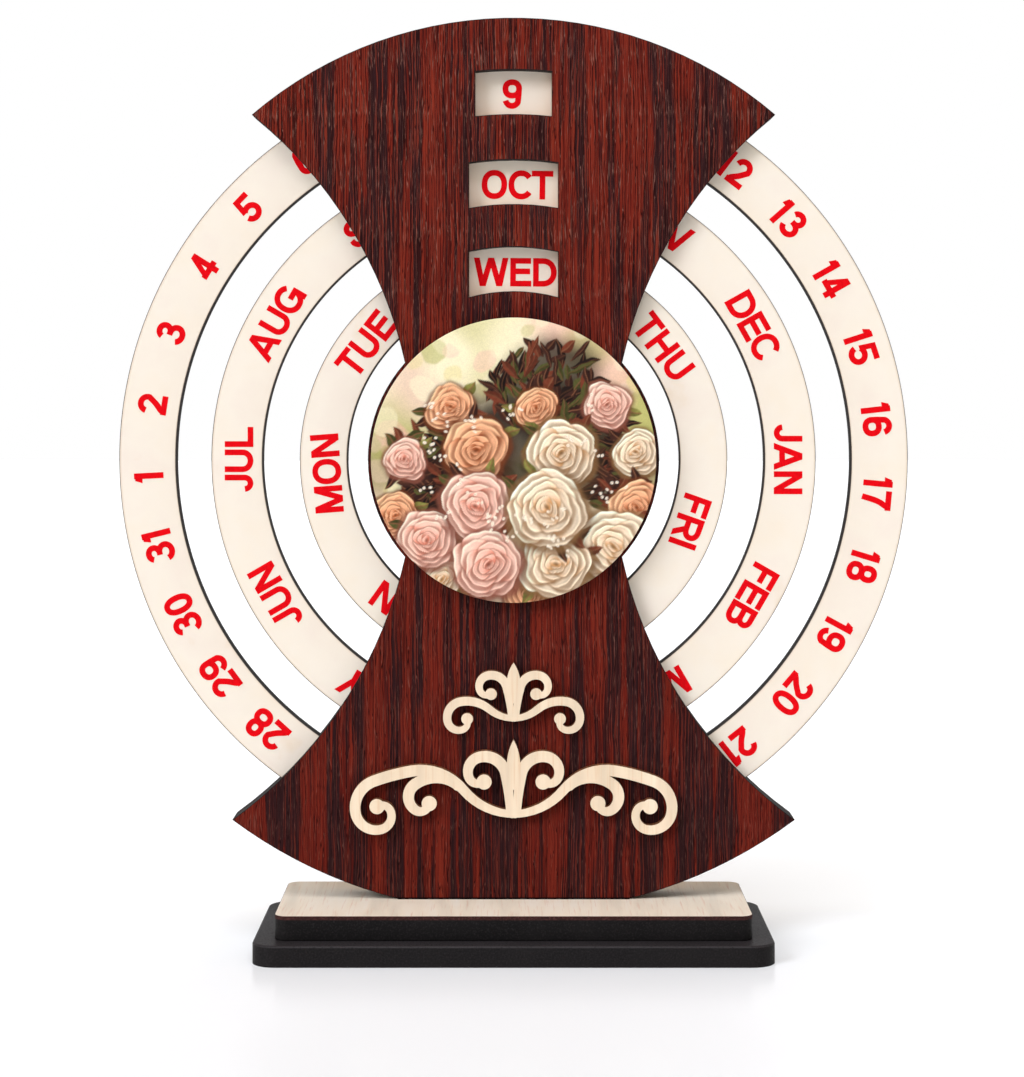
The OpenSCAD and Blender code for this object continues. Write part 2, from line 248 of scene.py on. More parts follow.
def dial_card():
    """Cream melamine face, satin, with faint warm stains and a scorched line along its rims."""
    material, tree, shader = blank("cream_melamine")
    cream = tuple(bpy.context.scene.calendar_finishes.dial_cream)
    place = add(tree, "ShaderNodeTexCoord").outputs["Object"]
    broad = add(tree, "ShaderNodeMapping", {"Vector": place, "Scale": per_mm(17, 17, 17)}).outputs[0]
    cloud = add(tree, "ShaderNodeTexNoise", {"Vector": broad, "Scale": 1.0, "Detail": 4.0,
                                             "Roughness": 0.55}).outputs["Fac"]
    stained = ramp(tree, cloud, [(0.3, linear("#f1e5d3")), (0.5, cream), (0.66, linear("#efe3d5")),
                                 (0.8, linear("#e9d7bf"))])
    small = add(tree, "ShaderNodeMapping", {"Vector": place, "Scale": per_mm(1.1, 1.1, 1.1)}).outputs[0]
    spots = add(tree, "ShaderNodeTexNoise", {"Vector": small, "Scale": 1.0, "Detail": 2.0}).outputs["Fac"]
    freckle = add(tree, "ShaderNodeMapRange", {0: spots, 1: 0.74, 2: 0.84, 3: 0.0, 4: 0.35}).outputs[0]
    flecked = add(tree, "ShaderNodeMix", {0: freckle, 6: stained, 7: linear("#eccfa4")},
                  data_type="RGBA").outputs[2]
    # The rim attribute is the distance to the outer rim in mm, or 0.17 mm less than that to the inner one:
    # char for 0.15 mm, then a brown fade.
    rim = add(tree, "ShaderNodeAttribute", attribute_name="rim_mm").outputs["Fac"]
    fade = add(tree, "ShaderNodeMapRange", {0: rim, 1: 0.12, 2: 0.75, 3: 0.32, 4: 0.0}).outputs[0]
    warmed = add(tree, "ShaderNodeMix", {0: fade, 6: flecked, 7: linear("#c39a6c")}, data_type="RGBA").outputs[2]
    char = add(tree, "ShaderNodeMapRange", {0: rim, 1: 0.10, 2: 0.26, 3: 1.0, 4: 0.0}).outputs[0]
    edged = add(tree, "ShaderNodeMix", {0: char, 6: warmed, 7: linear("#3b3431")}, data_type="RGBA").outputs[2]
    tree.links.new(edged, shader.inputs["Base Color"])
    shader.inputs["Roughness"].default_value = 0.5
    shader.inputs["Specular IOR Level"].default_value = 0.2
    grain = add(tree, "ShaderNodeBump", {"Height": spots, "Strength": 0.12, "Distance": 0.00005}).outputs[0]
    tree.links.new(grain, shader.inputs["Normal"])
    return material


def red_ink():
    """Red ultraviolet-cured ink in a thin film: glossier than the card, with a fine roller mottle."""
    material, tree, shader = blank("cured_red_ink")
    ink = tuple(bpy.context.scene.calendar_finishes.ink)
    place = add(tree, "ShaderNodeTexCoord").outputs["Object"]
    fine = add(tree, "ShaderNodeMapping", {"Vector": place, "Scale": per_mm(0.9, 0.9, 0.9)}).outputs[0]
    mottle = add(tree, "ShaderNodeTexNoise", {"Vector": fine, "Scale": 1.0, "Detail": 3.0}).outputs["Fac"]
    shade = tuple(c * 0.86 for c in ink[:3]) + (1.0,)
    tree.links.new(ramp(tree, mottle, [(0.35, shade), (0.55, ink)]), shader.inputs["Base Color"])
    tree.links.new(add(tree, "ShaderNodeMapRange", {0: mottle, 1: 0.3, 2: 0.7, 3: 0.42, 4: 0.54}).outputs[0],
                   shader.inputs["Roughness"])
    shader.inputs["Specular IOR Level"].default_value = 0.06
    return material


def black_board(name="black_stained_fibreboard", painted_light=1.0):
    """Black-stained medium-density fibreboard: matt, with a felted fibre texture and greyer rubbed spots."""
    material, tree, shader = blank(name)
    # painted_light scales the black: above 1 it is painted light, below 1 painted shade.
    black = tuple(c * painted_light for c in bpy.context.scene.calendar_finishes.base_black[:3]) + (1.0,)
    place = add(tree, "ShaderNodeTexCoord").outputs["Object"]
    fibre_scale = add(tree, "ShaderNodeMapping", {"Vector": place, "Scale": per_mm(0.5, 0.5, 0.5)}).outputs[0]
    fibre = add(tree, "ShaderNodeTexNoise", {"Vector": fibre_scale, "Scale": 1.0, "Detail": 4.0,
                                             "Roughness": 0.65}).outputs["Fac"]
    patch_scale = add(tree, "ShaderNodeMapping", {"Vector": place, "Scale": per_mm(16, 16, 16)}).outputs[0]
    patch = add(tree, "ShaderNodeTexNoise", {"Vector": patch_scale, "Scale": 1.0, "Detail": 3.0}).outputs["Fac"]
    felt = ramp(tree, fibre, [(0.28, linear("#0c0a0b")), (0.5, black), (0.74, linear("#252122"))])
    worn = add(tree, "ShaderNodeMapRange", {0: patch, 1: 0.45, 2: 0.75, 3: 0.0, 4: 0.4}).outputs[0]
    rubbed = add(tree, "ShaderNodeMix", {0: worn, 6: felt, 7: linear("#1e1b1b")}, data_type="RGBA").outputs[2]
    tree.links.new(rubbed, shader.inputs["Base Color"])
    tree.links.new(add(tree, "ShaderNodeMapRange", {0: fibre, 1: 0.3, 2: 0.7, 3: 0.62, 4: 0.44}).outputs[0],
                   shader.inputs["Roughness"])
    shader.inputs["Specular IOR Level"].default_value = 0.15
    nap = add(tree, "ShaderNodeBump", {"Height": fibre, "Strength": 0.45, "Distance": 0.0001}).outputs[0]
    tree.links.new(nap, shader.inputs["Normal"])
    return material


def pale_wood(name, base, grain_axis, streak_hex, glow_hex):
    """Pale sanded wood, satin: fine straight grain along grain_axis (0, 1 or 2) with warmer fibres."""
    material, tree, shader = blank(name)
    place = add(tree, "ShaderNodeTexCoord").outputs["Object"]
    wide = [4.5, 4.5, 4.5]
    thin = [0.55, 0.55, 0.55]
    wide[grain_axis], thin[grain_axis] = 46, 15
    broad = add(tree, "ShaderNodeMapping", {"Vector": place, "Scale": per_mm(*wide),
                                            "Rotation": (0, 0, 0.05)}).outputs[0]
    figure = add(tree, "ShaderNodeTexNoise", {"Vector": broad, "Scale": 1.0, "Detail": 3.0,
                                              "Distortion": 0.3}).outputs["Fac"]
    close = add(tree, "ShaderNodeMapping", {"Vector": place, "Scale": per_mm(*thin),
                                            "Rotation": (0, 0, 0.05)}).outputs[0]
    fibres = add(tree, "ShaderNodeTexNoise", {"Vector": close, "Scale": 1.0, "Detail": 3.0}).outputs["Fac"]
    shade = tuple(c * 0.87 for c in base[:3]) + (1.0,)
    toned = ramp(tree, figure, [(0.3, shade), (0.52, base), (0.72, linear(glow_hex))])
    thread = add(tree, "ShaderNodeMapRange", {0: fibres, 1: 0.56, 2: 0.75, 3: 0.0, 4: 0.55}).outputs[0]
    grained = add(tree, "ShaderNodeMix", {0: thread, 6: toned, 7: linear(streak_hex)},
                  data_type="RGBA").outputs[2]
    tree.links.new(grained, shader.inputs["Base Color"])
    shader.inputs["Roughness"].default_value = 0.52
    sanded = add(tree, "ShaderNodeBump", {"Height": fibres, "Strength": 0.25, "Distance": 0.00006}).outputs[0]
    tree.links.new(sanded, shader.inputs["Normal"])
    return material


def raw_board():
    """Raw medium-density fibreboard: warm brown, matt, with short darker and paler fibres."""
    material, tree, shader = blank("raw_fibreboard")
    brown = tuple(bpy.context.scene.calendar_finishes.board)
    place = add(tree, "ShaderNodeTexCoord").outputs["Object"]
    fibre_scale = add(tree, "ShaderNodeMapping", {"Vector": place, "Scale": per_mm(0.5, 0.7, 0.9)}).outputs[0]
    fibre = add(tree, "ShaderNodeTexNoise", {"Vector": fibre_scale, "Scale": 1.0, "Detail": 5.0,
                                             "Roughness": 0.7}).outputs["Fac"]
    cloud_scale = add(tree, "ShaderNodeMapping", {"Vector": place, "Scale": per_mm(22, 22, 22)}).outputs[0]
    cloud = add(tree, "ShaderNodeTexNoise", {"Vector": cloud_scale, "Scale": 1.0, "Detail": 3.0}).outputs["Fac"]
    felt = ramp(tree, fibre, [(0.25, linear("#80603f")), (0.5, brown), (0.78, linear("#b99872"))])
    smoke = add(tree, "ShaderNodeMapRange", {0: cloud, 1: 0.5, 2: 0.8, 3: 0.0, 4: 0.4}).outputs[0]
    smoked = add(tree, "ShaderNodeMix", {0: smoke, 6: felt, 7: linear("#7d5c3d")}, data_type="RGBA").outputs[2]
    tree.links.new(smoked, shader.inputs["Base Color"])
    shader.inputs["Roughness"].default_value = 0.8
    nap = add(tree, "ShaderNodeBump", {"Height": fibre, "Strength": 0.35, "Distance": 0.0001}).outputs[0]
    tree.links.new(nap, shader.inputs["Normal"])
    return material


def photo_print():
    """Ultraviolet-cured colour print on white film, satin gloss: its picture is the print_colour attribute."""
    material, tree, shader = blank("satin_colour_print")
    picture = add(tree, "ShaderNodeAttribute", attribute_name="print_colour").outputs["Color"]
    place = add(tree, "ShaderNodeTexCoord").outputs["Object"]
    fine = add(tree, "ShaderNodeMapping", {"Vector": place, "Scale": per_mm(0.32, 0.32, 0.32)}).outputs[0]
    dots = add(tree, "ShaderNodeTexNoise", {"Vector": fine, "Scale": 1.0, "Detail": 2.0}).outputs["Fac"]
    # Ink dots are finer than shows, so they are drawn as a 0.3 mm grain of 8 percent.
    tone = add(tree, "ShaderNodeMapRange", {0: dots, 1: 0.25, 2: 0.75, 3: 0.92, 4: 1.08}).outputs[0]
    grained = add(tree, "ShaderNodeVectorMath", {0: picture, "Scale": tone}, operation="SCALE").outputs[0]
    tree.links.new(grained, shader.inputs["Base Color"])
    shader.inputs["Roughness"].default_value = 0.38
    shader.inputs["Specular IOR Level"].default_value = 0.12
    return material


def material_of(name):
    """The finish of that name, made the first time that a piece asks for it."""
    finishes = bpy.context.scene.calendar_finishes
    makers = {
        "pressed_rosewood_laminate": rosewood,
        "scorched_edge": scorched,
        # A paler copy of the scorched edge for the windows' walls: painted light.
        "scorched_window_edge_painted_lit": lambda: scorched("scorched_window_edge_painted_lit", linear("#b8865a")),
        "scorched_ply_edge": lambda: scorched("scorched_ply_edge", linear("#74472a")),
        "scorched_veneer_edge": lambda: scorched("scorched_veneer_edge", linear("#381b18")),
        "cream_melamine": dial_card,
        "cured_red_ink": red_ink,
        "black_stained_fibreboard": black_board,
        # A darker copy of the black board, as painted shade.
        "black_fibreboard_painted_shade": lambda: black_board("black_fibreboard_painted_shade", 0.5),
        # A paler copy of the black board, as painted light.
        "black_fibreboard_painted_lit": lambda: black_board("black_fibreboard_painted_lit", 5.0),
        "birch_veneer": lambda: pale_wood("birch_veneer", tuple(finishes.veneer), 1, "#e3b294", "#fdf2e2"),
        "birch_ply": lambda: pale_wood("birch_ply", tuple(finishes.ply), 2, "#deb486", "#f4e3c8"),
        "raw_fibreboard": raw_board,
        "satin_colour_print": photo_print,
    }
    return bpy.data.materials.get(name) or makers[name]()


# ---------------------------------------------------------------- pieces


def place_piece(name, points, faces, body, finishes, replaced=(), smooth=True):
    """A mesh object at the origin that rides on a body, has its finishes and stands for CAD nodes."""
    mesh = bpy.data.meshes.new(name)
    mesh.from_pydata(points, [], faces)
    mesh.validate()
    if smooth:
        mesh.shade_smooth()
        mesh.set_sharp_from_angle(angle=math.radians(34))
    piece = bpy.data.objects.new(name, mesh)
    bpy.context.scene.collection.objects.link(piece)
    for finish in finishes:
        mesh.materials.append(material_of(finish))
    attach(piece, body)
    if replaced:
        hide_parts(*replaced)
    return piece


def softened(node, name, body, finishes, radius, axis, planes):
    """A merged copy of a CAD node with the edges that lie in the given planes rounded to radius.

    axis is the stacking axis, 1 for the upright boards and 2 for the base. An edge is rounded where both its
    ends lie in one of the planes and its faces turn by more than 30 degrees, which is where the length of
    their normals' sum falls below 2 cos 15. The second finish goes on faces that run along the axis.
    """
    import bmesh

    shape = bmesh.new()
    shape.from_mesh(NODES[node].data)
    bmesh.ops.remove_doubles(shape, verts=shape.verts, dist=1e-6)
    bmesh.ops.dissolve_limit(shape, angle_limit=math.radians(0.6), verts=shape.verts, edges=shape.edges)
    mesh = bpy.data.meshes.new(name)
    shape.to_mesh(mesh)
    shape.free()
    spots = read(mesh.vertices, "co", 3)
    ends = read(mesh.edges, "vertices", 2, int)
    normals = read(mesh.polygons, "normal", 3)
    corners = read(mesh.polygons, "loop_total", 1, int)
    edge_of = read(mesh.loops, "edge_index", 1, int)
    sums = np.zeros((len(ends), 3))
    np.add.at(sums, edge_of, np.repeat(normals, corners, axis=0))
    turning = np.linalg.norm(sums, axis=1) < 2 * math.cos(math.radians(15))
    height = spots[:, axis]
    inside = np.zeros(len(ends), bool)
    for plane in planes:
        inside |= (np.abs(height[ends] - plane) < 1e-5).all(axis=1)
    weight = mesh.attributes.new("bevel_weight_edge", "FLOAT", "EDGE")
    weight.data.foreach_set("value", (turning & inside).astype(np.float32))
    walls = np.abs(normals[:, axis]) < 0.5
    for finish in finishes:
        mesh.materials.append(material_of(finish))
    mesh.polygons.foreach_set("material_index", (walls & (len(finishes) > 1)).astype(np.int32))
    mesh.shade_smooth()
    piece = bpy.data.objects.new(name, mesh)
    bpy.context.scene.collection.objects.link(piece)
    rounding = piece.modifiers.new("rounding", "BEVEL")
    rounding.limit_method, rounding.width, rounding.segments = "WEIGHT", radius, 2
    rounding.material = min(1, len(finishes) - 1)
    rounding.use_clamp_overlap = True
    evened = piece.modifiers.new("evened", "WEIGHTED_NORMAL")
    evened.keep_sharp = True
    mesh.set_sharp_from_angle(angle=math.radians(30))
    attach(piece, body)
    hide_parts(node)
    return piece


def read(items, name, width, kind=float):
    """One property of a mesh's items as an array with width columns."""
    values = np.empty(len(items) * width, kind)
    items.foreach_get(name, values)
    return values.reshape(-1, width) if width > 1 else values


def turned(profile, steps):
    """A closed (radius, y) profile carried round the dials' axis.

    Point (i, j) is x = r_j sin a_i, y = y_j, z = centre + r_j cos a_i, with a_i in equal steps. The profile
    runs so that its faces look outward: towards larger radius on the side of smaller y.
    """
    angle = np.linspace(0, 2 * math.pi, steps, endpoint=False)[:, None]
    radius, depth = np.array(profile).T
    points = np.stack([radius * np.sin(angle), depth + 0 * angle, DIALS_Z + radius * np.cos(angle)], axis=2)
    index = np.arange(steps * len(profile)).reshape(steps, len(profile))
    ahead = np.roll(index, -1, axis=0)
    quads = np.stack([index, ahead, np.roll(ahead, -1, axis=1), np.roll(index, -1, axis=1)], axis=2)
    return points.reshape(-1, 3), quads.reshape(-1, 4)


def rounded_section(inner, outer, front, back, front_round, back_round):
    """(radius, y) points round a ring's section, with quarter-circle corners of the given radii."""
    quarter = np.radians(np.linspace(0, 90, 4))
    corners = [(outer, front, front_round, 1, -1), (outer, back, back_round, 1, 1),
               (inner, back, back_round, -1, 1), (inner, front, front_round, -1, -1)]
    points = []
    for number, (radius, depth, bend, outward, rear) in enumerate(corners):
        a = quarter if number % 2 else quarter[::-1]
        points += list(zip(radius - outward * bend * (1 - np.cos(a)), depth - rear * bend * (1 - np.sin(a))))
    return points


# ---------------------------------------------------------------- lettering


def bow(cx, cy, rx, ry, start, end, fullness=2.15):
    """Points on the superellipse |x/rx|^n + |y/ry|^n = 1 from one angle to another, n being its fullness."""
    a = np.radians(np.linspace(start, end, max(3, int(abs(end - start) / 9) + 1)))
    c, s = np.cos(a), np.sin(a)
    k = 2 / fullness
    return np.stack([cx + rx * np.sign(c) * np.abs(c) ** k, cy + ry * np.sign(s) * np.abs(s) ** k], axis=1)


def curve_through(points, each=7):
    """Catmull-Rom curve: between p1 and p2 it is the cubic whose end slopes are (p2-p0)/2 and (p3-p1)/2."""
    p = np.array(points, float)
    p = np.vstack([2 * p[0] - p[1], p, 2 * p[-1] - p[-2]])
    t = np.linspace(0, 1, each, endpoint=False)[None, :, None]
    a, b, c, d = (p[i : len(p) - 3 + i][:, None, :] for i in range(4))
    middle = 0.5 * (2 * b + (c - a) * t + (2 * a - 5 * b + 4 * c - d) * t**2 + (3 * b - a - 3 * c + d) * t**3)
    return np.vstack([middle.reshape(-1, 2), p[-2:-1]])


def widened(line, half):
    """Outline of a stroke: the line moved by half to each side along its mitred normals, counter-clockwise."""
    line = np.array(line, float)
    step = np.diff(line, axis=0)
    normal = np.stack([-step[:, 1], step[:, 0]], axis=1) / np.linalg.norm(step, axis=1)[:, None]
    before, after = np.vstack([normal[:1], normal]), np.vstack([normal, normal[-1:]])
    mitre = (before + after) / (1 + np.sum(before * after, axis=1))[:, None]
    return np.vstack([line - half * mitre, (line + half * mitre)[::-1]])


def slant(x0, y0, x1, y1, half):
    """A straight slanting stroke whose ends are cut level: its half width across is half / cos(slant)."""
    across = half * math.hypot(x1 - x0, y1 - y0) / abs(y1 - y0)
    low, high = ((x0, y0), (x1, y1)) if y0 < y1 else ((x1, y1), (x0, y0))
    return np.array([(low[0] - across, low[1]), (low[0] + across, low[1]),
                     (high[0] + across, high[1]), (high[0] - across, high[1])])


def strokes_of(letter, half):
    """Stroke outlines of a plain upright capital or figure of height 1, with strokes 2 half wide.

    Bars and stems are straight strokes, bowls are superellipse arcs, and slanting strokes end level.
    """
    h, t, b = half, 1 - half, half

    def bar(x0, y0, x1, y1):
        return widened([(x0, y0), (x1, y1)], h)

    def ring(cx, cy, rx, ry):
        return [widened(bow(cx, cy, rx, ry, start, start + 200, 2.25), h) for start in (80, 260)]

    def joined(*parts):
        return widened(np.vstack([np.atleast_2d(p) for p in parts]), h)

    w = {"I": 2 * h, "L": 0.70, "E": 0.74, "F": 0.68, "T": 0.75, "H": 0.80, "N": 0.80, "M": 0.94, "W": 1.24,
         "V": 0.92, "Y": 0.90, "A": 0.96, "U": 0.79, "J": 0.60, "O": 0.89, "C": 0.90, "G": 0.93, "D": 0.83,
         "P": 0.76, "R": 0.83, "B": 0.80, "S": 0.78, "1": 0.38, "4": 0.68}.get(letter, 0.66)
    r, l = w - h, h
    k = h * 1.12
    if letter == "I":
        return [bar(l, 0, l, 1)]
    if letter == "L":
        return [bar(l, 0, l, 1), bar(0, b, w, b)]
    if letter == "E":
        return [bar(l, 0, l, 1), bar(0, b, w, b), bar(0, t, w - 0.01, t), bar(0, 0.53, w - 0.04, 0.53)]
    if letter == "F":
        return [bar(l, 0, l, 1), bar(0, t, w, t), bar(0, 0.49, w - 0.08, 0.49)]
    if letter == "T":
        return [bar(0, t, w, t), bar(w / 2, 0, w / 2, 1)]
    if letter == "H":
        return [bar(l, 0, l, 1), bar(r, 0, r, 1), bar(l, 0.53, r, 0.53)]
    if letter == "N":
        return [bar(l, 0, l, 1), bar(r, 0, r, 1), slant(k, 1, w - k, 0, h)]
    if letter == "M":
        return [bar(l, 0, l, 1), bar(r, 0, r, 1), slant(k, 1, w / 2, 0, h), slant(w - k, 1, w / 2, 0, h)]
    if letter == "W":
        a, c = w * 0.265, w * 0.735
        return [slant(k, 1, a, 0, h), slant(a, 0, w / 2, 1, h),
                slant(w / 2, 1, c, 0, h), slant(c, 0, w - k, 1, h)]
    if letter == "V":
        return [slant(k, 1, w / 2, 0, h), slant(w - k, 1, w / 2, 0, h)]
    if letter == "Y":
        return [slant(k, 1, w / 2, 0.40, h), slant(w - k, 1, w / 2, 0.40, h), bar(w / 2, 0, w / 2, 0.46)]
    if letter == "A":
        return [slant(k, 0, w / 2, 1, h), slant(w - k, 0, w / 2, 1, h), bar(0.2, 0.29, w - 0.2, 0.29)]
    if letter == "U":
        return [joined([(l, 1)], bow(w / 2, 0.37, w / 2 - h, 0.37 - h, 180, 360, 2.05), [(r, 1)])]
    if letter == "J":
        return [joined([(r, 1)], bow(w / 2, 0.31, w / 2 - h, 0.31 - h, 0, -176, 2.05))]
    if letter == "O":
        return ring(w / 2, 0.5, w / 2 - h, 0.5 - h + 0.008)
    if letter == "C":
        return [widened(bow(w / 2 + 0.01, 0.5, w / 2 - h, 0.5 - h + 0.008, 37, 323), h)]
    if letter == "G":
        return [widened(bow(w / 2, 0.5, w / 2 - h, 0.5 - h + 0.008, 37, 335), h),
                   bar(0.53 * w, 0.46, w, 0.46), bar(r, 0.02, r, 0.46)]
    if letter == "D":
        return [bar(l, 0, l, 1), joined([(0, t)], bow(0.34, 0.5, r - 0.34, 0.5 - h, 90, -90), [(0, b)])]
    if letter in "PR":
        m = 0.455
        head = joined([(0, t)], bow(0.45, (t + m) / 2, r - 0.45, (t - m) / 2, 90, -90), [(0, m)])
        leg = [slant(0.44, 0.48, w - k, 0, h)] if letter == "R" else []
        return [bar(l, 0, l, 1), head, *leg]
    if letter == "B":
        m = 0.53
        upper = joined([(0, t)], bow(0.43, (t + m) / 2, r - 0.47, (t - m) / 2, 90, -90), [(0, m)])
        lower = joined([(0, m)], bow(0.43, (b + m) / 2, r - 0.43, (m - b) / 2, 90, -90), [(0, b)])
        return [bar(l, 0, l, 1), upper, lower]
    if letter == "S":
        bend = [(0.94, 0.70), (0.88, 0.86), (0.70, 0.975), (0.48, 1.0), (0.24, 0.965), (0.07, 0.85),
                (0.045, 0.72), (0.16, 0.585), (0.50, 0.50), (0.84, 0.415), (0.965, 0.27), (0.92, 0.13),
                (0.74, 0.03), (0.50, 0.0), (0.26, 0.03), (0.09, 0.14), (0.03, 0.30)]
        return [widened(curve_through([(h + x * (w - 2 * h), h + y * (1 - 2 * h)) for x, y in bend]), h)]
    if letter == "0":
        return ring(w / 2, 0.5, w / 2 - h, 0.5 - h)
    if letter == "1":
        return [bar(r, 0, r, 1), slant(w - 1.9 * h, 0.965, 0.01 + h, 0.72, h * 0.66), bar(r - h, t, w, t)]
    if letter == "2":
        tail = curve_through([(r - 0.055, 0.565), (0.36, 0.38), (0.17, 0.2), (0.115, b)])
        top = bow(w / 2, t - 0.225, w / 2 - h, 0.225, 172, -12, 2.0)
        return [joined(top, tail), bar(0.015, b, w, b)]
    if letter == "3":
        upper = bow(w / 2 - 0.01, (t + 0.53) / 2, w / 2 - h - 0.03, (t - 0.53) / 2, 165, -90, 2.0)
        lower = bow(w / 2 - 0.01, (b + 0.53) / 2, w / 2 - h + 0.01, (0.53 - b) / 2, 90, -168, 2.0)
        return [widened(upper, h), widened(lower, h), bar(0.24, 0.53, 0.34, 0.53)]
    if letter == "4":
        x = w - 0.215
        return [bar(x, 0, x, 1), bar(0.01, 0.27, w, 0.27), slant(0.10, 0.24, x - 0.01, 1, h * 0.92)]
    if letter == "5":
        bowl = bow(w / 2 - 0.01, 0.325, w / 2 - h + 0.01, 0.325 - h, 145, -166, 2.0)
        return [bar(0.12, t, w - 0.03, t), slant(0.11, 0.43, 0.165, 1, h * 0.92), widened(bowl, h)]
    if letter == "7":
        return [bar(0, t, w, t), widened(curve_through([(r - 0.005, t), (0.36, 0.52), (0.24, 0.0)]), h)]
    if letter == "8":
        return ring(w / 2, 0.745, w / 2 - h - 0.035, 0.745 - 0.53) + ring(w / 2, 0.305, w / 2 - h, 0.305 - h)
    # A 6, and a 9 is a 6 turned half round.
    bowl = ring(w / 2, 0.325, w / 2 - h, 0.325 - h)
    crown = bow(w / 2 + 0.01, t - 0.24, w / 2 - h - 0.005, 0.24, 14, 150, 2.0)
    back = joined(crown, [(l + 0.01, 0.5), (l, 0.3)])
    six = bowl + [back]
    return six if letter == "6" else [np.array([w, 1.0]) - s for s in six]


def united(outlines):
    """Triangles of the outlines' union: a constrained Delaunay net, kept where any outline covers it.

    The outlines are rounded to 0.00001 of a letter's height, so that strokes which share a line meet on it.
    """
    points, loops = [], []
    for outline in outlines:
        loops.append(list(range(len(points), len(points) + len(outline))))
        points += [Vector(p) for p in np.round(outline, 5).tolist()]
    spots, _, faces, _, _, owners = delaunay_2d_cdt(points, [], loops, 1, 1e-4)
    kept = np.array([f for f, owner in zip(faces, owners) if owner])
    spots = np.array([tuple(p) for p in spots])
    a, b, c = (spots[kept[:, i]] for i in range(3))
    area = (b[:, 0] - a[:, 0]) * (c[:, 1] - a[:, 1]) - (b[:, 1] - a[:, 1]) * (c[:, 0] - a[:, 0])
    kept[area < 0] = kept[area < 0][:, ::-1]
    used, order = np.unique(kept, return_inverse=True)
    return spots[used], order.reshape(-1, 3)


def stood_up(flat, triangles, front, back):
    """A closed plate from flat (x, z) points: front and back faces, and walls along the open edges."""
    edges = np.concatenate([triangles[:, [0, 1]], triangles[:, [1, 2]], triangles[:, [2, 0]]])
    key = edges[:, 0] * len(flat) + edges[:, 1]
    rim = edges[~np.isin(key, edges[:, 1] * len(flat) + edges[:, 0])]
    count = len(flat)
    points = np.concatenate([np.insert(flat, 1, front, axis=1), np.insert(flat, 1, back, axis=1)])
    walls = np.stack([rim[:, 1], rim[:, 0], rim[:, 0] + count, rim[:, 1] + count], axis=1)
    return points, triangles, triangles[:, ::-1] + count, walls


def lettering(name, labels, body, cap, radius, stroke, front, back, gap):
    """Raised labels round a dial: (text, angle clockwise from the top) with their tops outward.

    A label's letters stand in a straight row, centred on its angle, and the row turns as a whole: a point
    (u, v) of it goes to (u cos a + (R + v) sin a, (R + v) cos a - u sin a) about the dials' centre. A gap, as
    a share of the height, is wider by 0.045 for each stem beside it and by 0.05 between O and C, and it is
    0.13 in a label that starts with 1.
    """
    made, flats, triangles, total = {}, [], [], 0
    for text, angle in labels:
        rows, reach = [], 0.0
        for letter in text:
            if letter not in made:
                made[letter] = united(strokes_of(letter, stroke / 2))
            spots, faces = made[letter]
            if rows:
                stems = (text[len(rows) - 1] in "HIJMNU") + (letter in "BDEFHILMNPRU")
                round_pair = text[len(rows) - 1] + letter == "OC"
                reach += 0.13 if text[0] == "1" else gap + 0.045 * stems + 0.05 * round_pair
            rows.append((spots + [reach - spots[:, 0].min(), 0], faces))
            reach += np.ptp(spots[:, 0])
        turn = math.radians(angle)
        for spots, faces in rows:
            u, v = (spots[:, 0] - reach / 2) * cap, radius + (spots[:, 1] - 0.5) * cap
            flats.append(np.stack([u * math.cos(turn) + v * math.sin(turn),
                                   DIALS_Z + v * math.cos(turn) - u * math.sin(turn)], axis=1))
            triangles.append(faces + total)
            total += len(spots)
    points, fronts, backs, walls = stood_up(np.vstack(flats), np.vstack(triangles), front, back)
    faces = fronts.tolist() + backs.tolist() + walls.tolist()
    return place_piece(name, points.tolist(), faces, body, ["cured_red_ink"], smooth=False)


# ---------------------------------------------------------------- the picture


def smooth_step(x):
    """3x^2 - 2x^3 on x held between 0 and 1."""
    x = np.clip(x, 0, 1)
    return x * x * (3 - 2 * x)


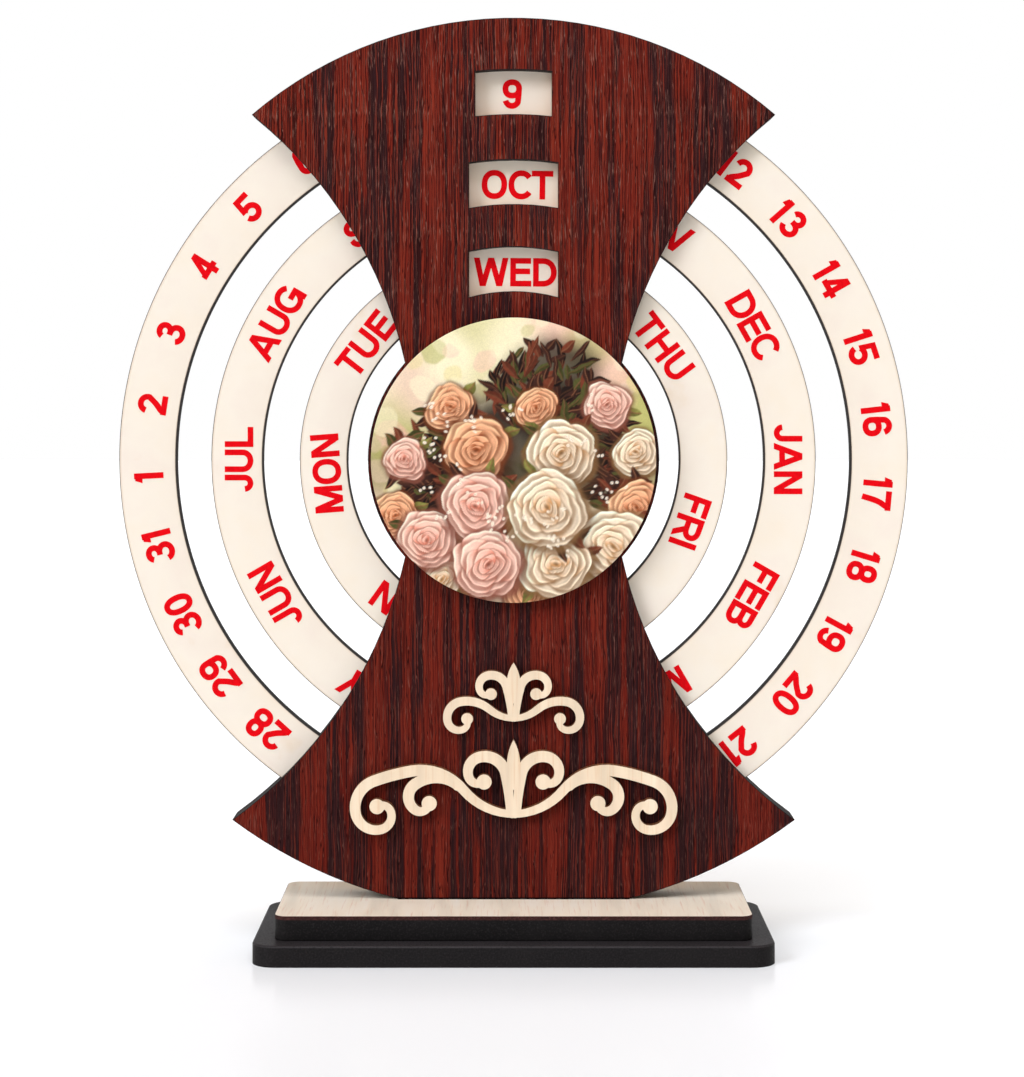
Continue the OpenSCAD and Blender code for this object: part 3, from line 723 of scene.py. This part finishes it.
class Canvas:
    """A painted picture: one linear colour for each (x, y) point in mm, painted over in order."""

    def __init__(self, spots):
        x, y = spots.T
        # Shapes waver by up to 0.5 mm, so that none is a true ellipse.
        self.x = x + 0.42 * np.sin(0.57 * y + 1.3) + 0.11 * np.sin(1.5 * y - 0.8 * x)
        self.y = y + 0.40 * np.sin(0.49 * x + 0.4) + 0.11 * np.sin(1.7 * x + 0.7 * y)
        self.colour = np.zeros((len(spots), 3))

    def patch(self, cx, cy, along, across, turn, margin=0.0):
        """The points near a turned ellipse, and their places in it: u along, v across, both 1 at its rim."""
        reach = max(along, across) + margin
        near = (np.abs(self.x - cx) < reach) & (np.abs(self.y - cy) < reach)
        dx, dy = self.x[near] - cx, self.y[near] - cy
        return near, (dx * math.cos(turn) + dy * math.sin(turn)) / along, (
            dy * math.cos(turn) - dx * math.sin(turn)) / across

    def lay(self, near, tint, cover):
        """Paints a tint over the near points with that cover."""
        cover = cover[:, None]
        self.colour[near] = self.colour[near] * (1 - cover) + np.asarray(tint) * cover

    def blot(self, cx, cy, along, across, turn, tint, soft, strength=1.0):
        """An ellipse whose cover falls from strength to 0 over soft mm across its rim."""
        near, u, v = self.patch(cx, cy, along, across, turn, soft)
        d = np.sqrt(u * u + v * v)
        self.lay(near, tint, strength * smooth_step((1 - d) * min(along, across) / soft + 0.5))

    def leaf(self, cx, cy, length, width, turn, tint, rib):
        """A leaf: its half width is width times 1 - u^2. One half is lighter, and its midrib and veins show."""
        near, u, v = self.patch(cx, cy, length, width, turn)
        cover = smooth_step((1 - u * u - np.abs(v)) * 4) * (np.abs(u) < 1)
        veins = 0.5 + 0.5 * np.cos(14 * (u - 0.35 * np.abs(v)))
        side = 0.62 + 0.5 * (v > 0) + 0.16 * veins
        mid = np.exp(-((v / 0.12) ** 2))[:, None] * 0.75
        self.lay(near, np.asarray(tint) * side[:, None] * (1 - mid) + np.asarray(rib) * mid, cover)

    def petal(self, cx, cy, along, across, turn, pale, deep, light):
        """A petal pointing along turn: deep at its foot, pale towards its curled lip, over its own shadow."""
        foot = deep * 0.42
        self.blot(cx + 0.10 * along * math.cos(turn), cy + 0.10 * along * math.sin(turn) - 0.08 * along,
                  along * 1.10, across * 1.08, turn, foot, 0.22 * across, 0.62)
        near, u, v = self.patch(cx, cy, along, across, turn, 0.3)
        # The lip is flattened: v weighs less towards the tip.
        d = np.sqrt(u * u * (1 + 0.25 * (u > 0)) + v * v * (1 - 0.22 * np.clip(u, 0, 1)))
        rise = smooth_step((u + 0.7) / 1.5) ** 1.3
        fold = 0.05 * np.sin(5 * v + 3 * turn) * np.clip(u + 0.6, 0, 1)
        lip = np.exp(-(((d - 0.94) / 0.055) ** 2)) * smooth_step(u + 0.45)
        crease = np.exp(-(((d - 0.80) / 0.08) ** 2)) * smooth_step(u + 0.3)
        shade = (light + fold + 0.24 * lip - 0.13 * crease)[:, None]
        tone = deep * (1 - rise[:, None]) + pale * rise[:, None]
        self.lay(near, np.clip(tone * shade, 0, 1), smooth_step((1 - d) * min(along, across) / 0.3 + 0.5))

    def rose(self, cx, cy, size, turn, pale, deep, rng):
        """A rose lit from the upper left: rings of petals from the outside in, each turned against the last."""
        self.blot(cx + 0.05 * size, cy - 0.10 * size, size * 1.12, size * 1.08, 0, deep * 0.12, 0.5 * size, 0.8)
        rings = [(0.54, 0.50, 0.62, 5), (0.42, 0.45, 0.55, 5), (0.29, 0.38, 0.44, 4), (0.18, 0.29, 0.33, 4),
                 (0.09, 0.19, 0.23, 3), (0.03, 0.11, 0.14, 2)]
        for ring, (out, along, across, count) in enumerate(rings):
            for k in rng.permutation(count):
                a = turn + ring * 0.9 + 2 * math.pi * (k + rng.uniform(-0.13, 0.13)) / count
                far = out * size * rng.uniform(0.93, 1.07)
                wide = rng.uniform(0.92, 1.08)
                light = 1.04 + 0.20 * math.cos(a - 2.2)
                heart = 0.07 * ring
                self.petal(cx + far * math.cos(a), cy + far * math.sin(a), along * size, across * size * wide,
                           a + rng.uniform(-0.25, 0.25), pale * (1 - heart) + deep * heart, deep, light)
        self.blot(cx, cy, 0.07 * size, 0.05 * size, turn, deep * 0.3, 0.08 * size, 0.8)


def garden_print(spots):
    """Linear colours of a soft garden view with roses and a copper hedge.

    The points are (x, y) in mm from the picture's centre.
    """
    rng = np.random.default_rng(11)
    canvas = Canvas(spots)
    tone = {key: np.array(linear(code)[:3]) for key, code in {
        "sun": "#fbf0cb", "straw": "#e3d48c", "lime": "#a9ab4c", "olive": "#837c3a", "haze": "#e9c9b2",
        "pink": "#f0b3a8", "umber": "#1d120f", "bark": "#3a2019", "copper": "#6b3322", "moss": "#4a4a25",
        "peach": "#f7b98e", "clay": "#ab5a33", "ivory": "#fae6ca", "sand": "#c48f5c", "blush": "#fbccb8",
        "coral": "#cb7760", "cream": "#fbf0dc", "rib": "#8c5a3e", "fern": "#7f7c3e"}.items()}
    # Soft background: bright at the upper left, green at both sides, pinkish at the upper right.
    across, up = (canvas.x / 77 + 0.5)[:, None], (canvas.y / 77 + 0.5)[:, None]
    sky = tone["haze"] * (1 - up) + tone["sun"] * up
    canvas.colour[:] = sky * (1 - 0.35 * across) + tone["straw"] * 0.35 * across
    for cx, cy, size, key, strength in [
            (-33, -4, 12, "olive", 0.75), (-31, 8, 9, "lime", 0.6), (33, 12, 10, "lime", 0.75),
            (34, -2, 9, "olive", 0.6), (-12, 31, 11, "lime", 0.4), (12, 36, 9, "pink", 0.6),
            (-24, 20, 9, "haze", 0.8), (26, 24, 8, "pink", 0.6), (0, 30, 8, "sun", 0.7),
            (-36, -16, 8, "haze", 0.7), (-17, 27, 7, "sun", 0.9), (20, 31, 6, "lime", 0.5)]:
        canvas.blot(cx, cy, size, size, 0, tone[key], size * 1.1, strength)
    names = ("sun", "lime", "straw", "pink", "sun", "olive", "haze", "straw")
    for _ in range(150):
        cx, cy = rng.uniform(-38, 38, 2)
        size = rng.uniform(1.2, 4.4)
        canvas.blot(cx, cy, size, size * rng.uniform(0.85, 1), 0, tone[names[int(rng.integers(8))]], 0.8,
                    rng.uniform(0.25, 0.6))
    # A dark copper hedge: over the middle towards the top, and down the left side.
    for cx, cy, long, wide, turn in [(9, 20, 15, 12, 0.5), (16, 10, 13, 11, 0.2), (-15, 2, 17, 9, 1.0),
                                     (-22, -12, 13, 8, 1.25), (1, 4, 14, 12, 0), (24, -2, 9, 9, 0),
                                     (-29, -24, 9, 6, 1.3)]:
        canvas.blot(cx, cy, long, wide, turn, tone["umber"], 7, 0.9)
    clumps = [(9, 20, 16, 12), (16, 9, 15, 11), (-16, 0, 12, 17), (-24, -14, 8, 14), (26, -4, 9, 9)]
    for _ in range(560):
        mid_x, mid_y, half_x, half_y = clumps[int(rng.integers(5))]
        a, d = rng.uniform(0, 2 * math.pi), math.sqrt(rng.uniform(0, 1))
        cx, cy = mid_x + half_x * d * math.cos(a), mid_y + half_y * d * math.sin(a)
        key = ("umber", "bark", "umber", "bark", "copper", "moss")[int(rng.integers(6))]
        turn = math.atan2(cy + 4, cx - 2) + rng.uniform(-0.9, 0.9)
        canvas.leaf(cx, cy, rng.uniform(2.2, 4.6), rng.uniform(0.8, 1.5), turn, tone[key],
                    tone["rib"] * rng.uniform(0.25, 1))
    roses = [(-17, 14, 6.4, "peach", "clay"), (25, 15, 6.2, "blush", "coral"), (-29, 0, 5.6, "blush", "coral"),
             (6, 14, 5.6, "peach", "clay"), (33, 2, 6.4, "ivory", "sand"), (-32, -15, 6.4, "peach", "clay"),
             (-19, -32, 7.6, "ivory", "sand"), (4, -36, 7.0, "peach", "clay"), (33, -13, 7.4, "peach", "clay"),
             (-10, 3, 8.8, "peach", "clay"), (13, 2, 9.0, "ivory", "sand"), (-23, -21, 7.8, "blush", "coral"),
             (27, -23, 9.6, "ivory", "sand"), (-10, -12, 9.2, "blush", "coral"), (11, -28, 9.6, "ivory", "sand"),
             (-7, -28, 9.2, "blush", "coral"), (9, -13, 10.6, "ivory", "sand")]
    for number, (cx, cy, size, pale, deep) in enumerate(roses):
        for k in range(4):
            a = rng.uniform(0, 2 * math.pi)
            key = ("fern", "copper", "moss", "bark")[k]
            far = size * 1.1
            canvas.leaf(cx + far * math.cos(a), cy + far * math.sin(a), 3.6, 1.4, a, tone[key], tone["rib"])
        canvas.rose(cx, cy, size, 0.7 * number, tone[pale], tone[deep], rng)
    # Sprays of tiny cream flowers between the roses.
    for _ in range(34):
        a, d = rng.uniform(0, 2 * math.pi), rng.uniform(0.4, 1)
        bx, by = 30 * d * math.cos(a), -2 + 26 * d * math.sin(a)
        for k in range(int(rng.integers(3, 7))):
            cx, cy = bx + rng.normal(0, 1.1), by + rng.normal(0, 1.1)
            canvas.blot(cx, cy, 0.42, 0.36, rng.uniform(0, 3), tone["cream"], 0.25, 0.9)
            canvas.blot(cx, cy, 0.12, 0.12, 0, tone["sand"], 0.15, 0.8)
    return canvas.colour


def round_net(count):
    """Points of a square grid folded onto the unit disc, with equal areas, and its quads.

    On the square, the larger of |a| and |b| is the radius, and their ratio times 45 degrees the angle.
    """
    side = np.linspace(-1, 1, count + 1)
    a, b = np.meshgrid(side, side, indexing="ij")
    wide = np.abs(a) > np.abs(b)
    radius = np.where(wide, a, b)
    safe = np.where(radius == 0, 1, radius)
    turn = np.where(wide, math.pi / 4 * b / safe, math.pi / 2 - math.pi / 4 * a / safe)
    spots = np.stack([radius * np.cos(turn), radius * np.sin(turn)], axis=2).reshape(-1, 2)
    index = np.arange((count + 1) ** 2).reshape(count + 1, count + 1)
    quads = np.stack([index[:-1, :-1], index[1:, :-1], index[1:, 1:], index[:-1, 1:]], axis=2).reshape(-1, 4)
    rim = np.concatenate([index[:-1, 0], index[-1, :-1], index[:0:-1, -1], index[0, :0:-1]])
    return spots, quads, rim


# ---------------------------------------------------------------- operators


class BuildBase(bpy.types.Operator):
    """The two black boards of the base and the pale veneer on the upper one."""

    bl_idname = "calendar.build_base"
    bl_label = "Base"

    def execute(self, context):
        sizes = context.scene.calendar_sizes
        plate_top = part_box("base_plate")[1].z
        board = softened("base_plate", "base_board", "stand",
                         ["black_fibreboard_painted_lit", "black_stained_fibreboard"],
                         sizes.base_rounding, 2, [plate_top])
        # Its top and its rounded edge take the paler copy of the black as painted light, the edge as a painted
        # highlight.
        board.modifiers["rounding"].material = 0
        # The plinth block takes the darker copy of the black board: painted shade.
        softened("plinth_block", "plinth_board", "stand", ["black_fibreboard_painted_shade"],
                 sizes.base_rounding * 0.5, 2, [plate_top])
        softened("plinth_veneer", "plinth_top", "stand",
                 ["birch_veneer", "scorched_veneer_edge"], sizes.rounding * 0.8, 2,
                 [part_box("plinth_veneer")[1].z])
        return {"FINISHED"}


class BuildPanel(bpy.types.Operator):
    """The wood-grain front with its windows, the boards behind it and the spacers between them."""

    bl_idname = "calendar.build_panel"
    bl_label = "Panel"

    def execute(self, context):
        sizes = context.scene.calendar_sizes
        laminate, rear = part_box("front_laminate"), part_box("rear_panel")
        softened("front_laminate", "laminate_front", "stand",
                 ["pressed_rosewood_laminate", "scorched_edge"], sizes.rounding, 1, [laminate[0].y])
        board = softened("front_board", "window_board", "stand",
                         ["raw_fibreboard", "scorched_edge", "scorched_window_edge_painted_lit"], sizes.rounding, 1,
                         [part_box("front_board")[1].y]).data
        # The windows' walls are those above the dials' centre, near the middle line and below the crown. They
        # take a paler copy of the edge finish as painted light. The ones that face down stay as dark as the
        # outer edges, as painted shade.
        centre, facing = read(board.polygons, "center", 3), read(board.polygons, "normal", 3)
        finish = read(board.polygons, "material_index", 1, np.int32)
        finish[(finish == 1) & (np.abs(centre[:, 0]) < 13 * MM) & (centre[:, 2] > DIALS_Z)
               & (centre[:, 2] < laminate[1].z - 5 * MM) & (facing[:, 2] > -0.5)] = 2
        board.polygons.foreach_set("material_index", finish)
        softened("rear_panel", "rear_board", "stand", ["raw_fibreboard", "scorched_edge"],
                 sizes.rounding * 1.5, 1, [rear[0].y, rear[1].y])
        spacers = ["upper_rim_spacer", "lower_rim_spacer", "upper_outer_guide", "lower_outer_guide",
                   "upper_inner_guide", "lower_inner_guide", "hub_spacer"]
        for node in spacers:
            NODES[node].material_slots[0].material = material_of("scorched_edge")
        return {"FINISHED"}


class BuildDials(bpy.types.Operator):
    """The three turning dials: a board ring each, with a cream face on it."""

    bl_idname = "calendar.build_dials"
    bl_label = "Dials"

    def execute(self, context):
        sizes = context.scene.calendar_sizes
        for body in ("day_dial", "month_dial", "weekday_dial"):
            card, board = f"{body}_face", f"{body}_board"
            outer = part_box(card)[1].x
            spots = read(NODES[card].data.vertices, "co", 3)
            inner = float(np.hypot(spots[:, 0], spots[:, 2] - DIALS_Z).min())
            front, seam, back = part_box(card)[0].y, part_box(card)[1].y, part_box(board)[1].y
            bend = 0.08 * MM
            section = rounded_section(inner, outer, front, seam, bend, bend * 0.1)
            # Rings of points, this far in from each rim in mm, carry the scorched line along it.
            marks = (0.14, 0.26, 0.5, 0.8)
            radii = [inner + d * MM for d in marks] + [outer - d * MM for d in reversed(marks)]
            points, quads = turned(section + [(radius, front) for radius in radii], sizes.rim_steps)
            piece = place_piece(f"{body}_card", points.tolist(), quads.tolist(), body,
                                ["cream_melamine", "scorched_edge"], [card])
            radius = np.hypot(points[:, 0], points[:, 2] - DIALS_Z)
            rim = np.minimum(outer - radius, radius - inner - 0.17 * MM) / MM
            edge = piece.data.attributes.new("rim_mm", "FLOAT", "POINT")
            edge.data.foreach_set("value", rim.astype(np.float32))
            tilt = np.abs(read(piece.data.polygons, "normal", 3)[:, 1]) < 0.9
            piece.data.polygons.foreach_set("material_index", tilt.astype(np.int32))
            section = rounded_section(inner, outer, seam, back, bend * 0.1, bend * 3)
            points, quads = turned(section, sizes.rim_steps)
            ring = place_piece(f"{body}_ring", points.tolist(), quads.tolist(), body,
                               ["raw_fibreboard", "scorched_edge"], [board])
            tilt = np.abs(read(ring.data.polygons, "normal", 3)[:, 1]) < 0.9
            ring.data.polygons.foreach_set("material_index", tilt.astype(np.int32))
        return {"FINISHED"}


class BuildLettering(bpy.types.Operator):
    """The raised red figures and names on the dials."""

    bl_idname = "calendar.build_lettering"
    bl_label = "Figures and names"

    def execute(self, context):
        sizes = context.scene.calendar_sizes
        card_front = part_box("day_dial_face")[0].y
        front, back = card_front - sizes.ink_thickness, card_front + 0.01 * MM
        # Two-figure days sit up to 2.4 degrees further round than an even spacing.
        further = np.interp(range(1, 32), (1, 9, 10, 26, 31), (0, -0.2, 2.4, 2.4, 0.7))
        days = [(str(day), (day - TOP_DAY) * 360 / 31 + further[day - 1]) for day in range(1, 32)]
        months = [(text, 30 * number + (0.8, 1.3, 0.9)[number] if number < 3 else 30 * number)
                  for number, text in enumerate(MONTH_LABELS)]
        lettering("day_figures", days, "day_dial", sizes.day_cap, 99.1 * MM, 0.198, front, back, 0.06)
        lettering("month_names", months, "month_dial", sizes.month_cap, 74.5 * MM, 0.2, front, back, 0.0)
        lettering("weekday_names", list(WEEKDAY_ANGLES.items()), "weekday_dial", sizes.weekday_cap, 50.8 * MM,
                  0.2, front, back, 0.02)
        return {"FINISHED"}


class BuildPicture(bpy.types.Operator):
    """The round board in the middle and the printed picture on it."""

    bl_idname = "calendar.build_picture"
    bl_label = "Picture"

    def execute(self, context):
        sizes = context.scene.calendar_sizes
        low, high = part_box("picture_print")
        radius = high.x
        spots, quads, rim = round_net(288)
        flat = spots * (radius - 0.12 * MM)
        out = spots[rim]
        levels = [(radius - 0.04 * MM, low.y + 0.04 * MM), (radius, low.y + 0.12 * MM), (radius, high.y)]
        points = [np.insert(flat, 1, low.y, axis=1)]
        points += [np.insert(out * r, 1, y, axis=1) for r, y in levels]
        points = np.vstack(points) + [0, 0, DIALS_Z]
        loops = [rim] + [len(flat) + np.arange(len(rim)) + k * len(rim) for k in range(len(levels))]
        walls = [np.stack([np.roll(a, -1), a, b, np.roll(b, -1)], axis=1) for a, b in zip(loops, loops[1:])]
        faces = quads.tolist() + np.vstack(walls).tolist() + [loops[-1][::-1].tolist()]
        piece = place_piece("printed_picture", points.tolist(), faces, "stand",
                            ["satin_colour_print"], ["picture_print"])
        painted = np.ones((len(points), 4), np.float32)
        painted[:, :3] = garden_print((points[:, [0, 2]] - [0, DIALS_Z]) / MM)
        dark = linear("#2a2120")[:3]
        painted[len(flat) + len(rim) :, :3] = dark
        ink = piece.data.attributes.new("print_colour", "FLOAT_COLOR", "POINT")
        ink.data.foreach_set("color", painted.ravel())
        softened("picture_board", "picture_disc", "stand", ["raw_fibreboard", "scorched_edge"],
                 sizes.rounding, 1, [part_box("picture_board")[1].y])
        return {"FINISHED"}


class BuildOrnaments(bpy.types.Operator):
    """The two cut-out ornaments below the picture."""

    bl_idname = "calendar.build_ornaments"
    bl_label = "Ornaments"

    def execute(self, context):
        sizes = context.scene.calendar_sizes
        for node in ("upper_ornament", "lower_ornament"):
            softened(node, f"{node}_cut", "stand", ["birch_ply", "scorched_ply_edge"],
                     sizes.rounding * 1.7, 1, [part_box(node)[0].y])
        return {"FINISHED"}


class BuildStudio(bpy.types.Operator):
    """A plain white floor and surroundings, soft lamps and the camera."""

    bl_idname = "calendar.build_studio"
    bl_label = "Studio"

    def execute(self, context):
        studio = context.scene.calendar_studio
        scene = context.scene
        scene.view_settings.view_transform = "Standard"
        # The world lights the object with its ambient strength, and shows as plain white.
        world = bpy.data.worlds.new("studio_white")
        scene.world = world
        world.use_nodes = True
        tree = world.node_tree
        ray = add(tree, "ShaderNodeLightPath")
        strength = add(tree, "ShaderNodeMapRange", {0: ray.outputs["Is Camera Ray"], 3: studio.ambient,
                                                    4: 1.0}).outputs[0]
        tree.links.new(strength, tree.nodes["Background"].inputs["Strength"])
        # The room's own light is warm, so that shade on the card turns brown. The lamps below are cooler.
        tinted = add(tree, "ShaderNodeMix", {0: ray.outputs["Is Camera Ray"], 6: (1.09, 0.955, 0.79, 1),
                                             7: (1, 1, 1, 1)}, data_type="RGBA").outputs[2]
        tree.links.new(tinted, tree.nodes["Background"].inputs["Color"])
        # The floor is satin white. What the camera sees of it is raised to white where it is lit, and more so
        # behind the calendar's axis than in front of it.
        floor, tree, shader = blank("studio_floor")
        shader.inputs["Base Color"].default_value = linear("#eff1f3")
        shader.inputs["Roughness"].default_value = 0.9
        shader.inputs["Specular IOR Level"].default_value = 0.0
        ray = add(tree, "ShaderNodeLightPath")
        place = add(tree, "ShaderNodeTexCoord").outputs["Object"]
        depth = add(tree, "ShaderNodeSeparateXYZ", {0: place}).outputs["Y"]
        raised = add(tree, "ShaderNodeMapRange", {0: depth, 1: 0.0, 2: 0.06, 3: 0.15, 4: 0.40},
                     interpolation_type="SMOOTHSTEP").outputs[0]
        glow = add(tree, "ShaderNodeMath", {0: ray.outputs["Is Camera Ray"], 1: raised},
                   operation="MULTIPLY").outputs[0]
        tree.links.new(glow, shader.inputs["Emission Strength"])
        shader.inputs["Emission Color"].default_value = (1, 1, 1.02, 1)
        sheen = add(tree, "ShaderNodeBsdfGlossy", {"Color": (1, 1, 1, 1), "Roughness": 0.2}).outputs[0]
        # The sheen, and with it the calendar's reflection, falls from 18 to 5 percent over 50 mm in front of the
        # base.
        polish = add(tree, "ShaderNodeMapRange", {0: depth, 1: -0.078, 2: -0.028, 3: 0.05, 4: 0.18},
                     interpolation_type="SMOOTHSTEP").outputs[0]
        polished = add(tree, "ShaderNodeMixShader", {0: polish, 1: shader.outputs[0], 2: sheen}).outputs[0]
        tree.links.new(polished, tree.nodes["Material Output"].inputs["Surface"])
        # The backdrop is far behind and shines white into the camera and the floor's sheen only.
        paper, tree, shader = blank("studio_backdrop")
        shader.inputs["Base Color"].default_value = (0, 0, 0, 1)
        shader.inputs["Specular IOR Level"].default_value = 0.0
        ray = add(tree, "ShaderNodeLightPath")
        seen = add(tree, "ShaderNodeMath", {0: ray.outputs["Is Camera Ray"], 1: ray.outputs["Is Glossy Ray"]},
                   operation="MAXIMUM").outputs[0]
        tree.links.new(seen, shader.inputs["Emission Strength"])
        shader.inputs["Emission Color"].default_value = (1, 1, 1, 1)
        reach = 4.0
        sheets = {"studio_floor": (floor, [(-reach, -reach, 0), (reach, -reach, 0), (reach, reach, 0),
                                           (-reach, reach, 0)]),
                  "studio_backdrop": (paper, [(-reach, reach, 0), (reach, reach, 0), (reach, reach, reach),
                                              (-reach, reach, reach)])}
        for name, (material, corners) in sheets.items():
            mesh = bpy.data.meshes.new(name)
            mesh.from_pydata(corners, [], [(0, 1, 2, 3)])
            mesh.materials.append(material)
            sheet = bpy.data.objects.new(name, mesh)
            scene.collection.objects.link(sheet)
        # The lamps and the room's light pass through the backdrop.
        sheet.visible_diffuse = sheet.visible_shadow = False
        # Far lamps, so that the light is even over the whole floor: (place, strength, spread in degrees).
        lamps = [("key_lamp", (-0.64, -0.60, 0.50), studio.key_strength, 24),
                 ("top_lamp", (0.05, -0.52, 0.86), studio.key_strength * 0.82, 40),
                 ("fill_lamp", (0.60, -0.80, 0.30), studio.key_strength * 0.07, 50),
                 ("back_lamp", (0.10, 0.80, 0.62), studio.key_strength * 0.34, 50)]
        for name, spot, strength, spread in lamps:
            light = bpy.data.lights.new(name, "SUN")
            light.energy, light.angle = strength, math.radians(spread)
            light.color = (0.96, 0.998, 1.08)
            lamp = bpy.data.objects.new(name, light)
            lamp.location = spot
            lamp.rotation_euler = (-Vector(spot)).to_track_quat("-Z", "Y").to_euler()
            scene.collection.objects.link(lamp)
        # The view looks down by lens shift, so that the dials stay round, and by 0.16 degrees of tilt.
        lens = bpy.data.cameras.new("camera")
        lens.sensor_width, lens.lens, lens.shift_y = 36.0, 81.9, -0.14
        camera = bpy.data.objects.new("camera", lens)
        camera.location = (-0.42 * MM, -studio.eye_distance, studio.eye_height)
        camera.rotation_euler = (math.radians(90 - 0.16), 0, 0)
        scene.collection.objects.link(camera)
        scene.camera = camera
        return {"FINISHED"}


class CalendarPanel(bpy.types.Panel):
    """The calendar's pieces, in the order in which they are built."""

    bl_idname = "VIEW3D_PT_calendar"
    bl_label = "Desk Calendar"
    bl_space_type = "VIEW_3D"
    bl_region_type = "UI"
    bl_category = "Calendar"

    def draw(self, context):
        column = self.layout.column(align=True)
        for step in STEPS:
            column.operator(step.bl_idname)
        for group, settings in (("calendar_sizes", CalendarSizes), ("calendar_finishes", CalendarFinishes),
                                ("calendar_studio", CalendarStudio)):
            column.separator()
            for name in settings.__annotations__:
                column.prop(getattr(context.scene, group), name)


STEPS = (BuildStudio, BuildBase, BuildPanel, BuildDials, BuildLettering, BuildPicture, BuildOrnaments)
CLASSES = (CalendarFinishes, CalendarSizes, CalendarStudio, *STEPS, CalendarPanel)


def register():
    """Registers the classes and the scene's settings."""
    for each in CLASSES:
        bpy.utils.register_class(each)
    bpy.types.Scene.calendar_finishes = PointerProperty(type=CalendarFinishes)
    bpy.types.Scene.calendar_sizes = PointerProperty(type=CalendarSizes)
    bpy.types.Scene.calendar_studio = PointerProperty(type=CalendarStudio)


def unregister():
    """Takes the settings and the classes away again."""
    for name in ("calendar_finishes", "calendar_sizes", "calendar_studio"):
        delattr(bpy.types.Scene, name)
    for each in reversed(CLASSES):
        bpy.utils.unregister_class(each)


def main():
    """Builds everything in order."""
    register()
    for step in STEPS:
        group, name = step.bl_idname.split(".")
        if getattr(getattr(bpy.ops, group), name)() != {"FINISHED"}:
            raise RuntimeError(f"{step.bl_label} was not built")


if __name__ == "__main__":
    main()
